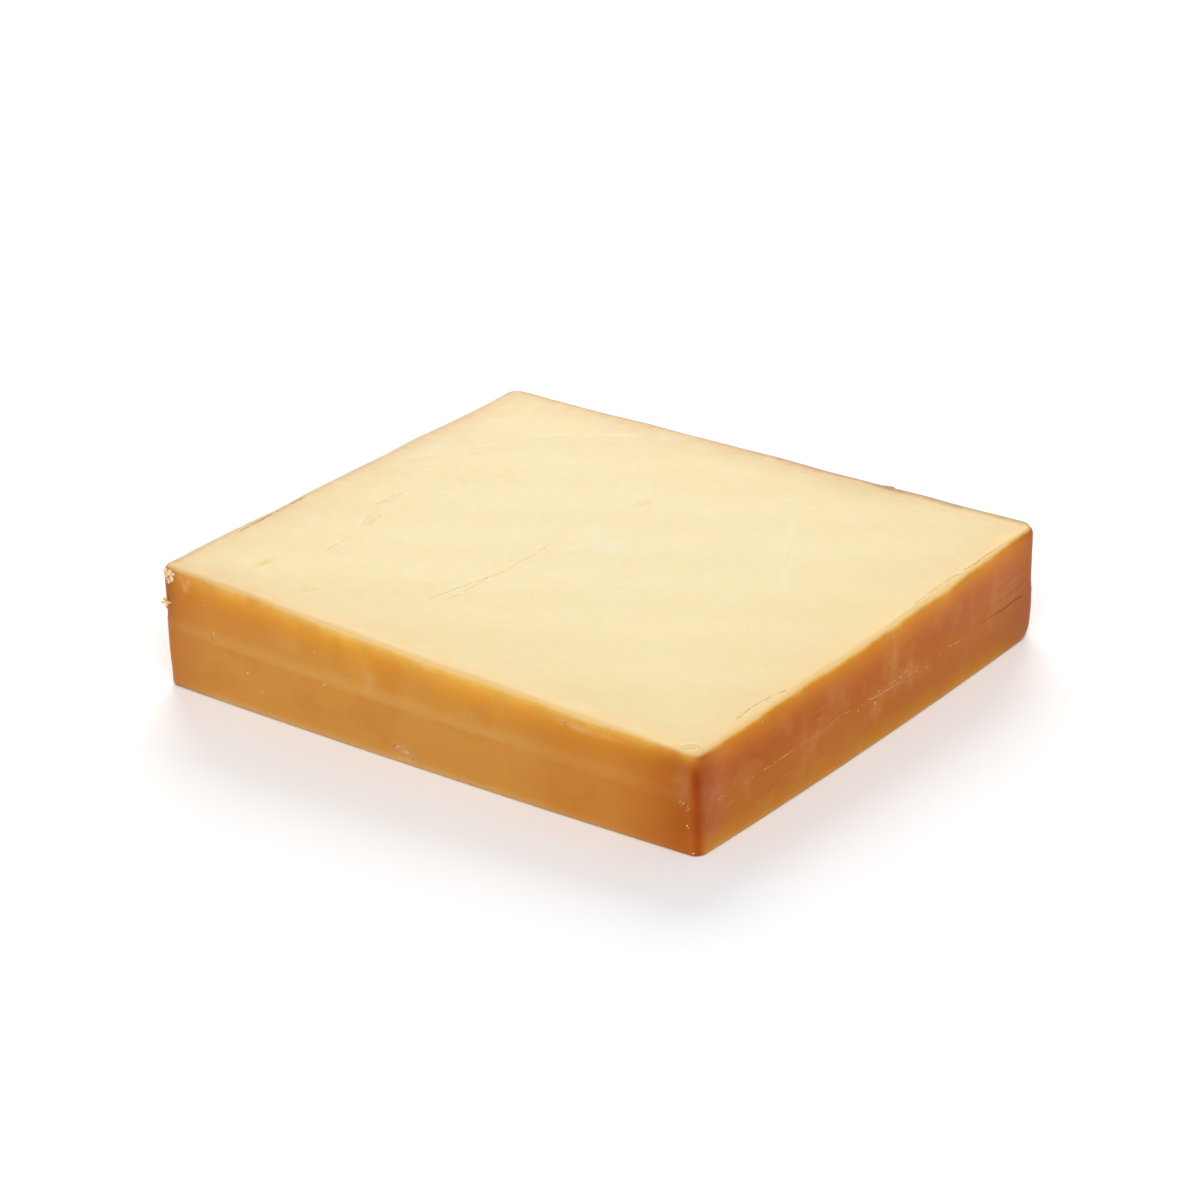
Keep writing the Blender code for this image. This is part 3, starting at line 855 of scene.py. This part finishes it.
# One oval scuff, where a grain was ground round, and how every ridge is made.
OVAL_CENTRE, OVAL_HALF_WIDTH, OVAL_HALF_HEIGHT = (-5.2, 14.9), 1.2, 1.7
SCUFF_STEP, SCUFF_HALF_WIDTH, SCUFF_HEIGHT, SCUFF_SUNK = 0.35, 0.22, 0.09, 0.03
SCUFF_WOBBLE, SCUFF_TAPER, WORN_THROUGH = 0.25, 6, 0.05

corners_of = [face.vertices[:] for face in slab_mesh.polygons]
skin_tree = BVHTree.FromPolygons([vert.co[:] for vert in slab_mesh.vertices], corners_of)


def on_skin(point):
    """The nearest place on the slab's skin to a point in millimetres, and the way out there."""
    found, normal, _, _ = skin_tree.find_nearest(Vector(point) * MM)
    return found, normal


def on_side(which, along, up):
    """A point in millimetres just off a named side, along it and up it."""
    reach = {"front": (along, low[1], up), "back": (along, high[1], up)}
    reach |= {"right": (high[0], along, up), "left": (low[0], along, up)}
    return reach[which]


def add_ridge(mesh, line, seed):
    """Raises one thin ridge along a run of points on the skin, broken where it has worn off."""
    places = []
    for a, b in zip(line[:-1], line[1:]):
        a, b = Vector(a), Vector(b)
        count = max(1, round((b - a).length / SCUFF_STEP))
        places += [a.lerp(b, i / count) for i in range(count)]
    rows = []
    for i, place in enumerate(places + [Vector(line[-1])]):
        found, normal = on_skin(place)
        share = i / len(places)
        taper = min(1.0, SCUFF_TAPER * share, SCUFF_TAPER * (1 - share))
        worn = noise.noise(place / 2.3 + Vector((seed, 0, 0))) + 0.12
        size = taper * min(1.0, max(0.0, worn * 5.0))
        wobble = noise.noise(place / 1.4 + Vector((0, seed, 0))) * SCUFF_WOBBLE
        run = (Vector(line[-1]) - Vector(line[0])).normalized()
        across = normal.cross(run).normalized()
        base = found + across * wobble * MM - normal * SCUFF_SUNK * MM
        if size < WORN_THROUGH:
            rows.append(None)
            continue
        half = across * SCUFF_HALF_WIDTH * size * MM
        tip = normal * (SCUFF_HEIGHT * size + SCUFF_SUNK) * MM
        rows.append([mesh.verts.new(p) for p in (base - half, base + tip, base + half)])
    for a, b in zip(rows[:-1], rows[1:]):
        if a and b:
            mesh.faces.new((a[0], a[1], b[1], b[0]))
            mesh.faces.new((a[1], a[2], b[2], b[1]))


def add_piece(name, mesh, finish):
    """Makes one object of a worked mesh, with its finish, and lets it ride on the cheese."""
    bmesh.ops.recalc_face_normals(mesh, faces=mesh.faces[:])
    for face in mesh.faces:
        face.smooth = True
    data = bpy.data.meshes.new(name)
    mesh.to_mesh(data)
    mesh.free()
    data.materials.append(finish)
    piece = show(name, data)
    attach(piece, "root")
    return piece


scuffed, scuff_shader, at = new_finish("scuffed_rind")
tone = at.noise(3.0, 2.0).soft(0.3, 0.7).mix(paint(194, 130, 76), paint(212, 160, 108))
lead(tone, scuff_shader, "Base Color")
lead(at.noise(1.0, 2.0) * 0.3 + 0.35, scuff_shader, "Roughness")
let_light_in(scuff_shader, 0.3, (1.0, 0.5, 0.2), 1.0, 0.2)

scuff_mesh = bmesh.new()
sides = {"right": SCUFFS_RIGHT, "front": SCUFFS_FRONT, "back": SCUFFS_BACK, "left": SCUFFS_LEFT}
for which, paths in sides.items():
    for number, path in enumerate(paths):
        add_ridge(scuff_mesh, [on_side(which, *p) for p in path], 3.0 * number + 0.7)
turns = np.linspace(0.4, 6.4, 15)
oval_y = [OVAL_CENTRE[0] + OVAL_HALF_WIDTH * math.cos(turn) for turn in turns]
oval_z = [OVAL_CENTRE[1] + OVAL_HALF_HEIGHT * math.sin(turn) for turn in turns]
oval = list(zip(oval_y, oval_z))
for a, b in zip(oval[:-1], oval[1:]):
    add_ridge(scuff_mesh, [on_side("right", *a), on_side("right", *b)], 0.2)
add_piece("scuffs", scuff_mesh, scuffed)

# ---------------------------------------------------------------------------------------------
# Crumbs. Small bits of curd, broken off as the block was cut, stick to the rind: single grains,
# a cluster of lumps at the left corner, and one ragged crumb that hangs on just below them.

# Grains have their places along the side and up it, and their sizes. Lumps have their places.
GRAINS_FRONT = (
    (-94.3, 27.6, 0.34), (-78.4, 16.1, 0.36), (-72.3, 10.0, 0.3), (-71.4, 10.9, 0.26), (-42.2, 21.4, 0.36),
    (-41.4, 22.2, 0.24), (114.7, 11.7, 0.34), (115.3, 10.9, 0.24), (-46.3, 33.0, 0.25), (117.2, 1.6, 0.4),
)
CORNER_LUMPS = (
    ((-116.2, -109.6, 46.6), 0.95), ((-114.2, -110.4, 46.2), 1.3), ((-113.3, -110.5, 44.4), 1.15),
    ((-116.0, -110.0, 45.0), 0.9), ((-114.9, -110.4, 43.2), 1.05), ((-112.4, -110.5, 46.2), 0.65),
)
RAGGED_AT = (-116.3, -109.2, 34.0)
RAGGED_ARMS = (
    ((-1.5, -0.4, -0.2), 1.35), ((0.0, -0.4, 1.7), 1.35), ((1.3, -0.2, 0.2), 1.1),
    ((0.2, -0.4, -1.6), 1.25), ((0.0, 0.0, 0.0), 1.3), ((-0.9, -0.3, 0.9), 1.0),
)
LUMP_OUT, LUMP_SPREAD = 0.25, (1.0, 1.15, 0.75)
RAGGED_OUT, ARM_REACH, ARM_SPREAD = 0.35, 0.75, (0.42, 0.42, 1.0)
STRAY_GRAINS, FINE_BALL_FROM = 26, 0.6
BROAD_LUMP, FINE_LUMP, LUMPINESS = 0.7, 0.3, 0.42
grain_random = random.Random(11)


def add_grain(mesh, centre, normal, size, spread=(1.0, 1.0, 0.7), turn=0.0):
    """One crumb: a small ball, flattened towards the skin and dented by noise."""
    facing = normal.to_track_quat("Z", "Y").to_matrix().to_4x4() @ Matrix.Rotation(turn, 4, "Z")
    scale = Matrix.Diagonal((*[s * size * MM for s in spread], 1.0))
    matrix = Matrix.Translation(centre) @ facing @ scale
    steps = 3 if size > FINE_BALL_FROM else 2
    made = bmesh.ops.create_icosphere(mesh, subdivisions=steps, radius=1.0, matrix=matrix)
    seed = Vector((grain_random.uniform(0, 90), grain_random.uniform(0, 90), 0))
    for vert in made["verts"]:
        off = vert.co - centre
        lump = noise.noise(off / (BROAD_LUMP * size * MM) + seed)
        lump += 0.5 * noise.noise(off / (FINE_LUMP * size * MM) + seed)
        vert.co = centre + off * (1 + LUMPINESS * lump)


crumbly, crumb_shader, at = new_finish("curd_crumbs")
tone = at.noise(1.1, 3.0).ramp(
    (0.34, paint(188, 118, 54)),
    (0.44, paint(218, 178, 118)),
    (0.56, paint(228, 208, 172)),
)
lead(tone, crumb_shader, "Base Color")
lead(at.noise(0.6, 2.0) * 0.3 + 0.3, crumb_shader, "Roughness")
lead(at.noise(0.35, 2.0).bump(0.4, 0.08), crumb_shader, "Normal")
let_light_in(crumb_shader, 0.3, (1.0, 0.6, 0.3), 0.8, 0.25)

crumb_mesh = bmesh.new()
for along, up, size in GRAINS_FRONT:
    found, normal = on_skin(on_side("front", along, up))
    add_grain(crumb_mesh, found, normal, size, turn=along)
for i in range(STRAY_GRAINS):
    which = ("back", "left")[i % 2]
    found, normal = on_skin(on_side(which, grain_random.uniform(-100, 100), grain_random.uniform(4, 40)))
    add_grain(crumb_mesh, found, normal, grain_random.uniform(0.18, 0.42))
for point, size in CORNER_LUMPS:
    found, normal = on_skin(point)
    add_grain(crumb_mesh, found + normal * LUMP_OUT * MM, normal, size, LUMP_SPREAD, point[2])
found, normal = on_skin(RAGGED_AT)
for (dx, dy, dz), size in RAGGED_ARMS:
    arm = Vector((dx, dy, dz))
    centre = found + (normal * RAGGED_OUT + arm * ARM_REACH) * MM
    way = arm if arm.length > 0 else normal
    add_grain(crumb_mesh, centre, way.normalized(), size, ARM_SPREAD)
add_piece("crumbs", crumb_mesh, crumbly)

# ---------------------------------------------------------------------------------------------
# Flakes. Bits of the rind itself, rubbed off and pressed back on flat: single ones, longer chips,
# and loose rings of small ones where a grain was squashed. They have the scuffed rind's finish.

# Flakes have their places along the side and up it, and their sizes. Rings and chips name their
# side first. A ring then has its place and radius, and a chip its place, size and turn.
FLAKES_FRONT = (
    (92.1, 37.0, 0.3), (94.2, 37.3, 0.26), (95.6, 37.4, 0.3), (64.4, 35.6, 0.75), (63.2, 35.9, 0.5),
    (65.6, 35.1, 0.4), (-11.0, 6.5, 0.5), (-2.6, 3.6, 0.45), (-9.2, 4.6, 0.35), (-7.0, 4.9, 0.6),
)
FLAKES_RIGHT = (
    (-15.1, 17.7, 0.4), (6.2, 20.5, 0.36), (12.6, 19.9, 0.34), (30.5, 17.1, 0.36), (39.0, 18.4, 0.36),
    (-73.3, 36.3, 0.42), (8.2, 37.2, 0.5), (20.6, 21.5, 0.3), (19.4, 15.2, 0.3), (-55.0, 10.0, 0.2),
    (-98.0, 18.6, 0.3), (72.0, 14.0, 0.25), (50.0, 27.0, 0.22), (-1.0, 18.9, 0.3), (-8.0, 19.4, 0.3),
)
SQUASHED = (
    ("front", -98.2, 38.3, 1.2), ("front", -95.2, 25.1, 0.8), ("front", 23.1, 27.4, 1.0),
    ("front", 30.1, 32.8, 1.1), ("front", 112.6, 20.0, 1.0), ("front", 114.9, 18.3, 0.9),
    ("right", 8.2, 37.0, 1.3), ("right", -4.4, 16.3, 0.6), ("back", 30.0, 28.0, 1.2),
    ("back", -70.0, 18.0, 1.0), ("left", 10.0, 14.0, 1.1),
)
CHIPS = (
    ("front", -9.4, 5.9, 1.5, 0.5), ("front", -5.6, 4.5, 1.7, 0.35), ("front", -2.9, 3.3, 0.8, 0.5),
    ("front", 64.6, 35.7, 1.0, 0.1), ("back", 55.9, 46.4, 1.7, 0.0),
)
RING_FLAKES, RING_TURN = 7, 0.9
FLAT, LONG_FLAT = (1.3, 0.8, 0.4), (1.25, 0.55, 0.3)

flake_mesh = bmesh.new()
for which, flakes in (("front", FLAKES_FRONT), ("right", FLAKES_RIGHT)):
    for along, up, size in flakes:
        found, normal = on_skin(on_side(which, along, up))
        add_grain(flake_mesh, found, normal, size, FLAT, along)
for which, along, up, size, turn in CHIPS:
    found, normal = on_skin(on_side(which, along, up))
    add_grain(flake_mesh, found, normal, size, LONG_FLAT, turn)
for which, along, up, radius in SQUASHED:
    for i in range(RING_FLAKES):
        turn = RING_TURN * i + grain_random.uniform(-0.4, 0.4)
        far = radius * grain_random.uniform(0.5, 1.2)
        point = on_side(which, along + far * math.cos(turn), up + far * math.sin(turn))
        found, normal = on_skin(point)
        add_grain(flake_mesh, found, normal, grain_random.uniform(0.16, 0.36), FLAT, turn)
add_piece("flakes", flake_mesh, scuffed)

# ---------------------------------------------------------------------------------------------
# The floor. A matt white sheet lies under the slab and runs on for nine metres on every side.
# It is stage and no part of the cheese.

FLOOR_HALF = 9.0
floor_mesh = bpy.data.meshes.new("floor")
floor_corners = [(sx * FLOOR_HALF, sy * FLOOR_HALF, 0) for sx, sy in ((-1, -1), (1, -1), (1, 1), (-1, 1))]
floor_mesh.from_pydata(floor_corners, [], [(0, 1, 2, 3)])
white, sheet, at = new_finish("white_floor")
lead(at.noise(60.0, 2.0).soft(0.3, 0.7).mix(paint(249, 249, 249), paint(250, 250, 250)), sheet, "Base Color")
sheet.inputs["Roughness"].default_value = 0.9
sheet.inputs["Specular IOR Level"].default_value = 0.0
floor_mesh.materials.append(white)
floor = show("floor", floor_mesh)

# ---------------------------------------------------------------------------------------------
# Studio light. The room is white all round. One wide soft lamp stands low behind the slab, and
# another, wider and higher, on the near side. Each has its power, direction and spread in degrees.

ROOM_LIGHT = 0.45
LAMPS = {
    "back_lamp": (2.1, Vector((-0.53, 0.73, 0.45)), 38.0),
    "front_lamp": (1.95, Vector((0.53, -0.73, 0.80)), 45.0),
}
room = bpy.data.worlds.new("room")
room.use_nodes = True
room.node_tree.nodes["Background"].inputs["Color"].default_value = (1.0, 1.0, 1.0, 1.0)
room.node_tree.nodes["Background"].inputs["Strength"].default_value = ROOM_LIGHT
bpy.context.scene.world = room
for name, (power, source, spread) in LAMPS.items():
    lamp = bpy.data.lights.new(name, "SUN")
    lamp.energy, lamp.angle = power, math.radians(spread)
    show(name, lamp).rotation_euler = source.to_track_quat("Z", "Y").to_euler()

# ---------------------------------------------------------------------------------------------
# The camera. A long lens looks a little down on the corner between the front and right sides,
# from about a metre and a half away, and is rolled by a fraction of a degree.

AZIMUTH, ELEVATION, ROLL = math.radians(36.016), math.radians(24.449), math.radians(-0.643)
DISTANCE = 1.48964
TARGET = Vector((-0.00563, 0.00578, 0.020))
LENS, SENSOR = 120.0, 36.0
back = Vector(
    (
        math.sin(AZIMUTH) * math.cos(ELEVATION),
        -math.cos(AZIMUTH) * math.cos(ELEVATION),
        math.sin(ELEVATION),
    )
)
level_right = Vector((0, 0, 1)).cross(back).normalized()
level_up = back.cross(level_right)
rolled_right = math.cos(ROLL) * level_right + math.sin(ROLL) * level_up
rolled_up = math.cos(ROLL) * level_up - math.sin(ROLL) * level_right
lens = bpy.data.cameras.new("camera")
lens.lens, lens.sensor_width = LENS, SENSOR
camera = show("camera", lens)
turn = Matrix((rolled_right, rolled_up, back)).transposed().to_4x4()
camera.matrix_world = Matrix.Translation(TARGET + back * DISTANCE) @ turn
bpy.context.scene.camera = camera
bpy.context.scene.view_settings.view_transform = "Standard"
